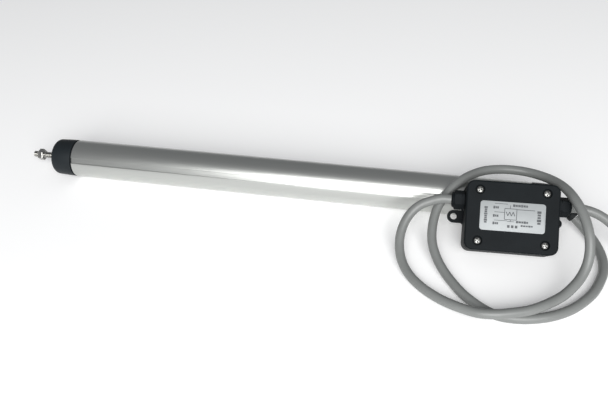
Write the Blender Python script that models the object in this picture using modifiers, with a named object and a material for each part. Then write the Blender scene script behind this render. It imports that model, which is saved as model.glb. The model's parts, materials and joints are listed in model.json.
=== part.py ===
"""Tubular linear actuator with its cable and control box, as an assembly of separate parts.

The actuator lies on a table (z = 0) with its push rod pointing towards -X. A planetary gearmotor in the
rear of the tube turns a lead screw, and the lead nut carries the push tube out through the front cap. The
control box leans on the tube, and the actuator's cable lies in two loops around it.

Lengths below are in millimetres; MM turns them into metres. "Stations" are distances along the tube from
the front cap's nose, which is station 0.
"""

import math

import bmesh
import bpy
from mathutils import Matrix, Vector

MM = 0.001

# ---------------------------------------------------------------- driving dimensions
CENTRE_STATION = 236.76  # station that sits over the origin
AXIS_Y = 26.6            # the tube's axis, in front of and above the origin
TUBE_R = 18.0
TUBE_WALL = 2.0
AXIS_Z = TUBE_R
BODY_LENGTH = 480.0
STROKE = 250.0
GAP = 0.3                # clearance between neighbouring solids

FRONT_CAP_END = 22.0
REAR_CAP_START = 458.0
SEAL_SPACE = 1.5
SPIGOT_R = 15.6
KEY_ANGLES = (150.0, 330.0)   # the two anti-rotation keys, from +Y towards +Z
KEY_TIP_R = 14.7
KEY_HALF_WIDTH = 1.7
GROOVE_FLOOR_R = 17.0
GROOVE_HALF_WIDTH = 2.5

ROD_R = 8.0
ROD_BORE_R = 6.3
STUD_R = 3.0             # M6
NUT_FLATS = 10.0
NUT_THICK = 5.0

SCREW_R = 5.0
JOURNAL_R = 3.7
SCREW_START = 40.0

SUN_TEETH = 12
PLANET_TEETH = 12
RING_TEETH = SUN_TEETH + 2 * PLANET_TEETH
MODULE = 0.66
PRESSURE_ANGLE = math.radians(25.0)
TOOTH_THINNING = 0.05
PLANET_COUNT = 3
PLANET_ORBIT_R = MODULE * (SUN_TEETH + PLANET_TEETH) / 2
PIN_R = 1.4

BEARING_STATION = 337.5
BEARING_WIDTH = 7.0
BEARING_PITCH_R = 7.5
BEARING_BALLS = 7
BALL_R = 1.85

MOTOR_R = 14.0
MOTOR_WALL = 1.2
SHAFT_R = 1.6
ARMATURE_R = 10.2
ARMATURE_SLOTS = 5

BOX_LENGTH = 75.0
BOX_HEIGHT = 58.0
BOX_WALL = 2.0
BOX_CORNER = 6.5
BASE_TOP = 21.8
LID_BOTTOM = 23.4
LID_TOP = 30.0
BOX_TILT = 41.2          # lid's slope from the table
BOX_YAW = 2.5
BOX_STATION = 438.1      # middle of the box's lower back edge
BOX_FOOT_Y = -50.1
BOX_FOOT_Z = 0.4
SCREW_SPACING = (53.6, 42.6)
LABEL_SIZE = (52.0, 24.2)
GLAND_HEIGHT = 12.9      # above the middle of the box
GLAND_DEPTH = 14.6
GLAND_LENGTH = 10.6
GLAND_FLATS = 14.6
# the two mounting ears: how far the hole is from the wall, the end's radius and the hole's radius
EARS = {-1: (7.7, 5.5, 2.8), 1: (3.7, 3.9, 1.7)}
EAR_THICK = 3.2

CABLE_R = 4.0
COIL_CENTRE = (602.0, -78.0)
COIL_MEAN_R = 43.0
COIL_HALF_WIDTH = 8.3
COIL_BOTTOM = 1.5
COIL_TOP = 25.7
WIRE_R = 1.2

BLACK = (0.022, 0.026, 0.029)
ALUMINIUM = (0.56, 0.565, 0.55)
STAINLESS = (0.55, 0.55, 0.53)
STEEL = (0.36, 0.36, 0.37)
BRONZE = (0.45, 0.29, 0.13)
CABLE_GREY = (0.33, 0.34, 0.34)


# ---------------------------------------------------------------- scene and materials
def clear_scene():
    for obj in list(bpy.data.objects):
        bpy.data.objects.remove(obj, do_unlink=True)


def new_collection(name):
    collection = bpy.data.collections.new(name)
    bpy.context.scene.collection.children.link(collection)
    return collection


def material(name, colour, roughness, metallic=0.0):
    made = bpy.data.materials.new(name)
    made.use_nodes = True
    shader = made.node_tree.nodes["Principled BSDF"]
    shader.inputs["Base Color"].default_value = (*colour, 1.0)
    shader.inputs["Roughness"].default_value = roughness
    shader.inputs["Metallic"].default_value = metallic
    return made


clear_scene()
PARTS = new_collection("linear_actuator")
CUTTERS = new_collection("cutters")

ANODISED = material("anodised_aluminium", ALUMINIUM, 0.32, 1.0)
BLACK_PLASTIC = material("black_plastic", BLACK, 0.42)
WHITE_PLASTIC = material("white_plastic", (0.72, 0.72, 0.68), 0.45)
STAINLESS_STEEL = material("stainless_steel", STAINLESS, 0.28, 1.0)
BARE_STEEL = material("bare_steel", STEEL, 0.4, 1.0)
BRONZE_METAL = material("bronze", BRONZE, 0.4, 1.0)
COPPER = material("copper", (0.72, 0.30, 0.16), 0.35, 1.0)
RUBBER = material("rubber", (0.03, 0.03, 0.03), 0.7)
FERRITE = material("ferrite", (0.07, 0.07, 0.075), 0.6)
BOARD_GREEN = material("board_green", (0.03, 0.16, 0.07), 0.5)
LABEL_GREY = material("label_grey", (0.42, 0.44, 0.44), 0.4)
CABLE_PVC = material("cable_pvc", CABLE_GREY, 0.5)
WIRE_BROWN = material("wire_brown", (0.19, 0.08, 0.04), 0.5)
WIRE_BLUE = material("wire_blue", (0.03, 0.12, 0.38), 0.5)


# ---------------------------------------------------------------- placing and joining
def at_station(station, y=0.0, z=0.0):
    """World point, in metres, at this station and this far from the tube's axis."""
    return Vector((station - CENTRE_STATION, AXIS_Y + y, AXIS_Z + z)) * MM


def at_table(station, y, z):
    """World point for a place given by its station, its distance behind the axis and its height."""
    return Vector((station - CENTRE_STATION, AXIS_Y + y, z)) * MM


def add(name, data, finish, collection=PARTS):
    obj = bpy.data.objects.new(name, data)
    collection.objects.link(obj)
    if finish is None:
        obj.hide_render = True
        obj.display_type = "WIRE"
    else:
        data.materials.append(finish)
    return obj


def along_axis(obj, station):
    """Lays an object that was made along its own Z down the tube's axis."""
    obj.location = at_station(station)
    obj.rotation_euler = (0.0, math.radians(90.0), 0.0)
    return obj


def cut(obj, cutter, operation="DIFFERENCE"):
    modifier = obj.modifiers.new(operation.lower() + "_" + cutter.name, "BOOLEAN")
    modifier.operation = operation
    modifier.solver = "EXACT"
    modifier.object = cutter
    return obj


def as_mesh(curve_object):
    """Replaces a curve object by its mesh, with the caps welded on."""
    bpy.context.view_layer.update()
    graph = bpy.context.evaluated_depsgraph_get()
    mesh = bpy.data.meshes.new_from_object(curve_object.evaluated_get(graph))
    welded = bmesh.new()
    welded.from_mesh(mesh)
    bmesh.ops.remove_doubles(welded, verts=welded.verts, dist=1e-6)
    welded.to_mesh(mesh)
    welded.free()
    name = curve_object.name
    home = curve_object.users_collection[0]
    hidden = curve_object.hide_render
    matrix = curve_object.matrix_world.copy()
    parent = curve_object.parent
    bpy.data.objects.remove(curve_object, do_unlink=True)
    obj = bpy.data.objects.new(name, mesh)
    home.objects.link(obj)
    if parent is not None:
        obj.parent = parent
        obj.matrix_parent_inverse = Matrix.Identity(4)
        obj.matrix_basis = parent.matrix_world.inverted() @ matrix
    else:
        obj.matrix_world = matrix
    if hidden:
        obj.hide_render = True
        obj.display_type = "WIRE"
    return obj


# ---------------------------------------------------------------- shape makers
def turned(name, outer, finish, inner=None, segments=32, origin=0.0, collection=PARTS):
    """A turned part on the tube's axis. Both lists hold (station, radius) from front to rear."""
    profile = [(r, station - origin) for station, r in reversed(outer)]
    if inner is not None:
        profile += [(r, station - origin) for station, r in inner]
    mesh = bpy.data.meshes.new(name)
    points = [(r * MM, 0.0, z * MM) for r, z in profile]
    edges = [(i, i + 1) for i in range(len(points) - 1)]
    if inner is not None:
        edges.append((len(points) - 1, 0))
    mesh.from_pydata(points, edges, [])
    obj = add(name, mesh, finish, collection)
    screw = obj.modifiers.new("turn", "SCREW")
    screw.axis = "Z"
    screw.angle = math.tau
    screw.steps = segments
    screw.render_steps = segments
    screw.use_merge_vertices = True
    screw.merge_threshold = 0.000001
    screw.use_smooth_shade = True
    return along_axis(obj, origin)


def arc(centre_station, centre_r, radius, start, end, steps):
    """(station, radius) points on a quarter or other arc, angles in degrees from +station towards +radius."""
    turns = [math.radians(start + (end - start) * i / steps) for i in range(steps + 1)]
    return [(centre_station + radius * math.cos(t), centre_r + radius * math.sin(t)) for t in turns]


def in_section(angle, r):
    """A point of a cross-section in the local frame of a part laid along the axis."""
    return (-r * math.sin(angle), r * math.cos(angle))


def circle(r, count=32, centre=(0.0, 0.0), phase=0.0):
    turns = [phase + math.tau * i / count for i in range(count)]
    return [(centre[0] + r * math.cos(t), centre[1] + r * math.sin(t)) for t in turns]


def keyed_circle(r, key_r, half_width, steps=13):
    """A round section whose radius changes to key_r across the two key positions."""
    points = []
    for start, end in ((KEY_ANGLES[0], KEY_ANGLES[1]), (KEY_ANGLES[1], KEY_ANGLES[0] + 360.0)):
        low = math.radians(start)
        high = math.radians(end)
        edge = math.asin(half_width / r)
        key_edge = math.asin(half_width / key_r)
        points.append(in_section(low - key_edge, key_r))
        points.append(in_section(low + key_edge, key_r))
        sweep = high - low - 2 * edge
        points += [in_section(low + edge + sweep * i / steps, r) for i in range(steps + 1)]
    return points


def prism(name, outlines, low, high, finish, collection=PARTS, scale=MM):
    """A flat 2D outline (with holes) given a thickness from low to high along its own Z."""
    curve = bpy.data.curves.new(name, "CURVE")
    curve.dimensions = "2D"
    curve.fill_mode = "BOTH"
    curve.extrude = (high - low) / 2 * scale
    for outline in outlines:
        spline = curve.splines.new("POLY")
        spline.points.add(len(outline) - 1)
        for point, (x, y) in zip(spline.points, outline):
            point.co = (x * scale, y * scale, 0.0, 1.0)
        spline.use_cyclic_u = True
    obj = add(name, curve, finish, collection)
    obj.location = (0.0, 0.0, (high + low) / 2 * scale)
    return obj


def section_part(name, outlines, start, end, finish, collection=PARTS):
    """A constant cross-section between two stations on the tube's axis."""
    obj = prism(name, outlines, 0.0, end - start, finish, collection)
    return along_axis(obj, (start + end) / 2)


def involute(angle):
    return math.tan(angle) - angle


def half_tooth(r, pitch_r, teeth, thinning):
    """Half the angle that a tooth covers at this radius."""
    base_r = pitch_r * math.cos(PRESSURE_ANGLE)
    roll = math.acos(min(1.0, base_r / r))
    return math.pi / (2 * teeth) - thinning / pitch_r + involute(PRESSURE_ANGLE) - involute(roll)


def gear_outline(teeth, tip, root, thinning, phase=0.0, steps=2):
    """Involute teeth from root to tip radius. For a ring gear it outlines the spaces: root is the outer one."""
    pitch_r = MODULE * teeth / 2
    base_r = pitch_r * math.cos(PRESSURE_ANGLE)
    first = max(min(root, tip), base_r)
    radii = [first + (max(root, tip) - first) * i / steps for i in range(steps + 1)]
    flank = [(r, half_tooth(r, pitch_r, teeth, thinning)) for r in radii]
    if root < first:
        flank.insert(0, (root, flank[0][1]))
    points = []
    for tooth in range(teeth):
        middle = phase + math.tau * tooth / teeth
        points += [in_section(middle - half, r) for r, half in flank]
        points += [in_section(middle + half, r) for r, half in reversed(flank)]
    return points


def smooth_route(route, spacing):
    """Evenly spaced points on a Catmull-Rom curve through the route's points."""
    ends = [route[0] * 2 - route[1]] + route + [route[-1] * 2 - route[-2]]
    fine = []
    for a, b, c, d in zip(ends, ends[1:], ends[2:], ends[3:]):
        for step in range(16):
            t = step / 16
            fine.append(
                (b * 2 + (c - a) * t + (a * 2 - b * 5 + c * 4 - d) * t * t + (b * 3 - a - c * 3 + d) * t ** 3) / 2
            )
    fine.append(route[-1])
    lengths = [0.0]
    for a, b in zip(fine, fine[1:]):
        lengths.append(lengths[-1] + (b - a).length)
    count = max(2, round(lengths[-1] / spacing))
    points = []
    place = 0
    for i in range(count + 1):
        wanted = lengths[-1] * i / count
        while place < len(fine) - 2 and lengths[place + 1] < wanted:
            place += 1
        span = lengths[place + 1] - lengths[place] or 1.0
        points.append(fine[place].lerp(fine[place + 1], min(1.0, (wanted - lengths[place]) / span)))
    return points


def tube_along(name, points, radius, finish, radii=None, resolution=2):
    """A round solid that follows points given in metres."""
    curve = bpy.data.curves.new(name, "CURVE")
    curve.dimensions = "3D"
    curve.bevel_depth = radius * MM
    curve.bevel_resolution = resolution
    curve.use_fill_caps = True
    spline = curve.splines.new("POLY")
    spline.points.add(len(points) - 1)
    for i, (point, place) in enumerate(zip(spline.points, points)):
        point.co = (*place, 1.0)
        point.radius = 1.0 if radii is None else radii[i]
    return add(name, curve, finish)


def blocks(name, boxes, collection=CUTTERS):
    """One helper mesh of several boxes, each (centre, size, turn about X)."""
    shape = bmesh.new()
    for centre, size, turn in boxes:
        place = Matrix.Rotation(turn, 4, "X") @ Matrix.Translation(Vector(centre) * MM)
        bmesh.ops.create_cube(shape, size=1.0, matrix=place @ Matrix.Diagonal((*(Vector(size) * MM), 1.0)))
    mesh = bpy.data.meshes.new(name)
    shape.to_mesh(mesh)
    shape.free()
    return add(name, mesh, None, collection)


def rods(name, cylinders, finish=None, collection=CUTTERS, segments=20):
    """One mesh of several upright cylinders, each (x, y, radius, low, high)."""
    shape = bmesh.new()
    for x, y, r, low, high in cylinders:
        place = Matrix.Translation(Vector((x, y, (low + high) / 2)) * MM)
        bmesh.ops.create_cone(
            shape, cap_ends=True, segments=segments, radius1=r * MM, radius2=r * MM,
            depth=(high - low) * MM, matrix=place,
        )
    mesh = bpy.data.meshes.new(name)
    shape.to_mesh(mesh)
    shape.free()
    return add(name, mesh, finish, collection)


# ---------------------------------------------------------------- tube, caps and seals
def build_housing():
    bore_r = TUBE_R - TUBE_WALL
    section_part(
        "outer_tube",
        [
            keyed_circle(TUBE_R, GROOVE_FLOOR_R, GROOVE_HALF_WIDTH, 16),
            keyed_circle(bore_r, KEY_TIP_R, KEY_HALF_WIDTH, 13),
        ],
        FRONT_CAP_END + SEAL_SPACE, REAR_CAP_START - SEAL_SPACE, ANODISED,
    )
    bars = []
    for angle in KEY_ANGLES:
        middle = (GROOVE_FLOOR_R + KEY_TIP_R - GAP) / 2
        depth = GROOVE_FLOOR_R - KEY_TIP_R + GAP
        length = REAR_CAP_START - FRONT_CAP_END + 1.0
        bars.append(((0.0, middle, 0.0), (length, depth, 2 * (KEY_HALF_WIDTH + GAP)), math.radians(angle)))
    keys = blocks("key_slots", bars)
    keys.location = at_station((FRONT_CAP_END + REAR_CAP_START) / 2)

    nose = [(0.0, 12.2)] + arc(5.4, 12.2, 5.2, 180.0, 97.0, 4)[1:]
    front = turned(
        "front_cap",
        nose + [
            (FRONT_CAP_END, 17.95), (FRONT_CAP_END + 0.05, SPIGOT_R), (36.0, SPIGOT_R),
        ],
        BLACK_PLASTIC,
        inner=[(0.0, 11.0), (6.3, 11.0), (6.4, 8.7), (7.0, 8.7), (7.1, 11.0), (36.0, 11.0)],
        segments=32,
    )
    cut(front, keys)
    turned("front_cap_seal", [(22.3, 17.0), (23.2, 17.0)], RUBBER, inner=[(22.3, 15.9), (23.2, 15.9)], segments=24)
    turned(
        "wiper_seal",
        [(0.5, 9.2), (1.2, 10.7), (6.0, 10.7)], RUBBER,
        inner=[(0.5, 8.4), (2.5, 8.6), (4.0, 9.2), (6.0, 9.2)], segments=24,
    )
    turned("guide_bush", [(7.4, 10.7), (35.6, 10.7)], BRONZE_METAL, inner=[(7.4, 8.06), (35.6, 8.06)])

    tail = arc(476.6, 14.55, 3.4, 88.0, 0.0, 3)
    rear = turned(
        "rear_cap",
        [
            (446.0, SPIGOT_R), (REAR_CAP_START - 0.05, SPIGOT_R), (REAR_CAP_START, 17.95),
        ] + tail,
        BLACK_PLASTIC,
        inner=[(446.0, 12.0), (472.0, 12.0), (472.1, 6.6), (BODY_LENGTH, 6.6)],
        segments=32,
    )
    cut(rear, keys)
    turned("rear_cap_seal", [(456.8, 17.0), (457.7, 17.0)], RUBBER, inner=[(456.8, 15.9), (457.7, 15.9)], segments=24)
    boot_line = [at_station(s, y, z) for s, y, z in (
        (469.0, 0.0, 0.0), (471.3, 0.0, 0.0), (471.7, 0.0, 0.0), (480.5, -0.1, -0.1), (484.7, -1.0, -0.9),
        (488.8, -2.9, -2.3), (492.5, -5.4, -3.9), (495.8, -8.1, -5.5),
    )]
    tube_along("cable_boot", boot_line, 1.0, RUBBER, radii=[8.4, 8.4, 6.2, 6.2, 6.0, 5.7, 5.4, 5.1], resolution=4)
    return keys


# ---------------------------------------------------------------- push rod
def build_rod(keys):
    carrier_front = 36.0 + 6.0 + STROKE
    rod_rear = carrier_front + 12.0
    turned("push_tube", [(1.0, ROD_R), (rod_rear - GAP, ROD_R)], STAINLESS_STEEL,
           inner=[(1.0, ROD_BORE_R), (rod_rear - GAP, ROD_BORE_R)])
    turned(
        "rod_end_plug",
        [(-1.6, 6.8), (-1.0, 7.8), (0.7, 7.8), (0.8, 6.0), (14.0, 6.0)], STAINLESS_STEEL,
        inner=[(-1.6, STUD_R + GAP), (11.0, STUD_R + GAP), (12.8, 0.0)], segments=24,
    )
    turned(
        "threaded_stud",
        [(-25.8, 0.0), (-25.8, 2.3), (-25.1, STUD_R), (10.6, STUD_R), (10.6, 0.0)], STAINLESS_STEEL, segments=24,
    )
    nut = prism("hex_nut", [circle(NUT_FLATS / math.sqrt(3.0), 6), circle(STUD_R + GAP, 24)],
                0.0, NUT_THICK, STAINLESS_STEEL)
    along_axis(nut, -20.0 + NUT_THICK / 2)

    carrier = turned(
        "nut_carrier",
        [(carrier_front, 14.4), (carrier_front + 1.2, SPIGOT_R), (carrier_front + 32.8, SPIGOT_R),
         (carrier_front + 34.0, 14.4)],
        WHITE_PLASTIC,
        inner=[
            (carrier_front, ROD_R + GAP), (rod_rear, ROD_R + GAP), (rod_rear + 0.1, 5.8),
            (rod_rear + 2.0, 5.8), (rod_rear + 2.1, 10.6), (carrier_front + 34.0, 10.6),
        ],
        segments=32,
    )
    cut(carrier, keys)
    turned("lead_nut", [(rod_rear + 2.5, 10.2), (carrier_front + 33.6, 10.2)], BRONZE_METAL,
           inner=[(rod_rear + 2.5, SCREW_R + GAP), (carrier_front + 33.6, SCREW_R + GAP)])


# ---------------------------------------------------------------- lead screw and bearing
def build_screw(keys):
    front = BEARING_STATION - BEARING_WIDTH / 2
    rear = BEARING_STATION + BEARING_WIDTH / 2
    turned(
        "lead_screw",
        [(SCREW_START, 0.0), (SCREW_START, 3.0), (SCREW_START + 6.0, 3.0), (SCREW_START + 6.1, SCREW_R),
         (front - 0.7, SCREW_R), (front - 0.6, JOURNAL_R), (347.0, JOURNAL_R), (347.0, 0.0)],
        BARE_STEEL, segments=24,
    )
    turned("screw_tip_guide", [(SCREW_START + 0.5, 5.9), (SCREW_START + 5.6, 5.9)], WHITE_PLASTIC,
           inner=[(SCREW_START + 0.5, 3.3), (SCREW_START + 5.6, 3.3)], segments=24)
    housing = turned(
        "bearing_housing",
        [(331.0, 14.8), (331.8, SPIGOT_R), (348.6, SPIGOT_R)], BARE_STEEL,
        inner=[(331.0, 8.0), (333.4, 8.0), (333.5, 11.3), (341.6, 11.3), (341.7, 12.2), (343.1, 12.2),
               (343.2, 11.3), (348.6, 11.3)],
        segments=32,
    )
    cut(housing, keys)
    groove_outer = arc(BEARING_STATION, BEARING_PITCH_R, 2.25, 138.0, 42.0, 3)
    turned("bearing_outer_race", [(front, 11.0), (rear, 11.0)], BARE_STEEL,
           inner=[(front, groove_outer[0][1])] + groove_outer + [(rear, groove_outer[-1][1])], segments=24)
    groove_inner = arc(BEARING_STATION, BEARING_PITCH_R, 2.25, 222.0, 318.0, 3)
    turned("bearing_inner_race", [(front, groove_inner[0][1])] + groove_inner + [(rear, groove_inner[-1][1])],
           BARE_STEEL, inner=[(front, 4.0), (rear, 4.0)], segments=24)
    section_part(
        "bearing_retaining_ring",
        [split_ring(9.8, 11.85, math.radians(20.0))], 341.9, 342.9, BARE_STEEL,
    )

    cage = turned("ball_cage", [(BEARING_STATION - 1.0, 8.1), (BEARING_STATION + 1.0, 8.1)], BRONZE_METAL,
                  inner=[(BEARING_STATION - 1.0, 6.9), (BEARING_STATION + 1.0, 6.9)],
                  segments=28, origin=BEARING_STATION)
    balls = bmesh.new()
    for i in range(BEARING_BALLS):
        turn = math.tau * i / BEARING_BALLS
        place = Matrix.Translation(Vector((math.cos(turn), math.sin(turn), 0.0)) * BEARING_PITCH_R * MM)
        bmesh.ops.create_uvsphere(balls, u_segments=8, v_segments=6, radius=BALL_R * MM, matrix=place)
    ball_mesh = bpy.data.meshes.new("bearing_balls")
    balls.to_mesh(ball_mesh)
    balls.free()
    ball_set = along_axis(add("bearing_balls", ball_mesh, None, CUTTERS), BEARING_STATION)
    cut(cage, ball_set, "UNION")


def split_ring(inner_r, outer_r, half_opening, steps=22):
    """A flat ring outline with an opening at the bottom."""
    sweep = math.tau - 2 * half_opening
    turns = [half_opening + sweep * i / steps - math.pi / 2 for i in range(steps + 1)]
    return [in_section(t, outer_r) for t in turns] + [in_section(t, inner_r) for t in reversed(turns)]


# ---------------------------------------------------------------- planetary gearbox
def build_gearbox():
    ring_pitch_r = MODULE * RING_TEETH / 2
    gear_pitch_r = MODULE * SUN_TEETH / 2
    section_part(
        "ring_gear",
        [
            keyed_circle(SPIGOT_R, KEY_TIP_R - GAP, KEY_HALF_WIDTH + GAP, 11),
            gear_outline(RING_TEETH, ring_pitch_r - 0.8 * MODULE, ring_pitch_r + 1.15 * MODULE,
                         -TOOTH_THINNING, phase=math.pi / RING_TEETH),
        ],
        349.0, 368.0, BARE_STEEL,
    )
    disc = turned(
        "planet_carrier",
        [(343.6, 7.0), (349.4, 7.0), (349.5, 10.9), (352.8, 10.9), (352.8, 0.0)], BARE_STEEL,
        inner=[(343.6, JOURNAL_R + GAP), (347.5, JOURNAL_R + GAP), (347.5, 0.0)],
    )
    pin_places = []
    for i in range(PLANET_COUNT):
        turn = math.tau * i / PLANET_COUNT
        pin_places.append(in_section(turn, PLANET_ORBIT_R))
    holes = rods("pin_holes", [(x, y, PIN_R + GAP, -3.0, 8.0) for x, y in pin_places], segments=16)
    along_axis(holes, 348.5)
    cut(disc, holes)
    tip = gear_pitch_r + 0.85 * MODULE
    root = gear_pitch_r - 1.15 * MODULE
    for i, (x, y) in enumerate(pin_places):
        turn = math.tau * i / PLANET_COUNT
        pin = rods(f"planet_pin_{i + 1}", [(0.0, 0.0, PIN_R, 349.9, 363.4)], BARE_STEEL, PARTS, 16)
        pin.rotation_euler = (0.0, math.radians(90.0), 0.0)
        pin.location = at_station(0.0, y, -x)
        # a space of the planet faces the sun's tooth, and the teeth roll round with the planet's place
        phase = turn + math.pi + math.pi / PLANET_TEETH + turn * SUN_TEETH / PLANET_TEETH
        planet = prism(
            f"planet_gear_{i + 1}",
            [gear_outline(PLANET_TEETH, tip, root, TOOTH_THINNING, phase), circle(PIN_R + GAP, 16)],
            0.0, 9.0, BRONZE_METAL,
        )
        planet.rotation_euler = (0.0, math.radians(90.0), 0.0)
        planet.location = at_station(353.6 + 4.5, y, -x)
    section_part(
        "sun_gear", [gear_outline(SUN_TEETH, tip, root, TOOTH_THINNING), circle(SHAFT_R + GAP, 16)],
        353.6, 363.4, BARE_STEEL,
    )


# ---------------------------------------------------------------- motor
def sector(inner_r, outer_r, middle, half_angle, steps):
    turns = [middle - half_angle + 2 * half_angle * i / steps for i in range(steps + 1)]
    return [in_section(t, outer_r) for t in turns] + [in_section(t, inner_r) for t in reversed(turns)]


def armature_outline():
    """Five T-shaped poles round a hub."""
    points = []
    pole = math.tau / ARMATURE_SLOTS
    for i in range(ARMATURE_SLOTS):
        middle = pole * i
        points.append(in_section(middle - math.asin(1.6 / 4.4), 4.4))
        points.append(in_section(middle - math.asin(1.6 / 8.6), 8.6))
        head = 0.42 * pole
        points.append(in_section(middle - head, 9.0))
        points += [in_section(middle + head * (2 * k / 6 - 1), ARMATURE_R) for k in range(7)]
        points.append(in_section(middle + head, 9.0))
        points.append(in_section(middle + math.asin(1.6 / 8.6), 8.6))
        points.append(in_section(middle + math.asin(1.6 / 4.4), 4.4))
    return points


def build_motor():
    can_front = 369.0
    can_rear = 437.0
    inside_r = MOTOR_R - MOTOR_WALL
    turned(
        "motor_can",
        [(can_front, 13.1), (can_front + 1.0, MOTOR_R), (can_rear, MOTOR_R)], BARE_STEEL,
        inner=[(can_front, 4.4), (can_front + 1.6, 4.4), (can_front + 1.6, inside_r), (can_rear, inside_r)],
        segments=28,
    )
    turned("motor_front_bush", [(369.4, 4.1), (371.2, 4.1), (371.3, 5.4), (374.0, 5.4)], BRONZE_METAL,
           inner=[(369.4, SHAFT_R + 0.15), (374.0, SHAFT_R + 0.15)], segments=16)
    for name, middle in (("magnet_upper", 90.0), ("magnet_lower", 270.0)):
        section_part(name, [sector(10.7, 12.5, math.radians(middle), math.radians(66.0), 10)],
                     380.0, 420.0, FERRITE)
    turned("motor_shaft", [(354.0, 0.0), (354.0, SHAFT_R), (437.0, SHAFT_R), (437.0, 0.0)], BARE_STEEL,
           segments=16)
    section_part("armature_core", [armature_outline(), circle(SHAFT_R + GAP, 16)], 384.0, 412.0, BARE_STEEL)
    winding = turned("armature_winding", arc(381.0, 6.6, 2.6, 180.0, 0.0, 3), COPPER,
                     inner=arc(381.0, 6.6, 2.6, 180.0, 360.0, 3)[1:-1], segments=18)
    rear_turns = turned("winding_rear_turns", arc(415.0, 6.6, 2.6, 180.0, 0.0, 3), None,
                        inner=arc(415.0, 6.6, 2.6, 180.0, 360.0, 3)[1:-1], segments=18, collection=CUTTERS)
    cut(winding, rear_turns, "UNION")
    pole = math.tau / ARMATURE_SLOTS
    wires = []
    for i in range(ARMATURE_SLOTS):
        x, y = in_section(pole * (i + 0.5), 7.0)
        wires.append((x, y, 1.5, -17.0, 17.0))
    slot_wires = along_axis(rods("slot_wires", wires, segments=8), 398.0)
    cut(winding, slot_wires, "UNION")
    turned("commutator", [(419.0, 4.0), (428.0, 4.0)], COPPER,
           inner=[(419.0, SHAFT_R + GAP), (428.0, SHAFT_R + GAP)], segments=20)
    for name, side in (("brush_front", -1.0), ("brush_rear", 1.0)):
        brush = blocks(name, [((423.5, side * 7.4, 0.0), (4.0, 6.0, 3.4), 0.0)], PARTS)
        brush.hide_render = False
        brush.display_type = "TEXTURED"
        brush.data.materials.append(FERRITE)
        brush.location = at_station(0.0)
    turned("motor_rear_bush", [(431.4, 5.4), (433.0, 5.4), (437.0, 5.4)], BRONZE_METAL,
           inner=[(431.4, SHAFT_R + 0.15), (437.0, SHAFT_R + 0.15)], segments=16)
    turned(
        "motor_end_cap",
        [(429.4, 12.5), (437.2, 12.5), (437.3, MOTOR_R), (440.4, MOTOR_R), (440.4, 0.0)], BLACK_PLASTIC,
        inner=[(429.4, 5.7), (437.4, 5.7), (437.4, 0.0)], segments=28,
    )


# ---------------------------------------------------------------- control box
def rounded_rectangle(width, height, corner, steps=4, centre=(0.0, 0.0)):
    points = []
    for sx, sy, start in ((1, 1, 0.0), (-1, 1, 90.0), (-1, -1, 180.0), (1, -1, 270.0)):
        for i in range(steps + 1):
            turn = math.radians(start + 90.0 * i / steps)
            points.append((
                centre[0] + sx * (width / 2 - corner) + corner * math.cos(turn),
                centre[1] + sy * (height / 2 - corner) + corner * math.sin(turn),
            ))
    return points


def ear_outline(side):
    """The mounting ear's plan, from inside the box's wall out to its round end."""
    reach, end_r, _ = EARS[side]
    root = side * (BOX_LENGTH / 2 - 1.0)
    tip = side * (BOX_LENGTH / 2 + reach)
    turns = [math.radians(90.0 - 180.0 * i / 8) for i in range(9)]
    points = [(root, end_r + 1.5), (side * (BOX_LENGTH / 2 + 1.2), end_r)]
    points += [(tip + side * end_r * math.cos(t), end_r * math.sin(t)) for t in turns]
    points += [(side * (BOX_LENGTH / 2 + 1.2), -end_r), (root, -end_r - 1.5)]
    return points


def in_box(obj, frame):
    obj.parent = frame
    return obj


def box_prism(name, outlines, low, high, finish, frame, collection=PARTS):
    """A prism in the box's own frame, as a mesh that can be cut and joined."""
    obj = in_box(prism(name, outlines, low, high, finish, collection), frame)
    return as_mesh(obj)


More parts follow.
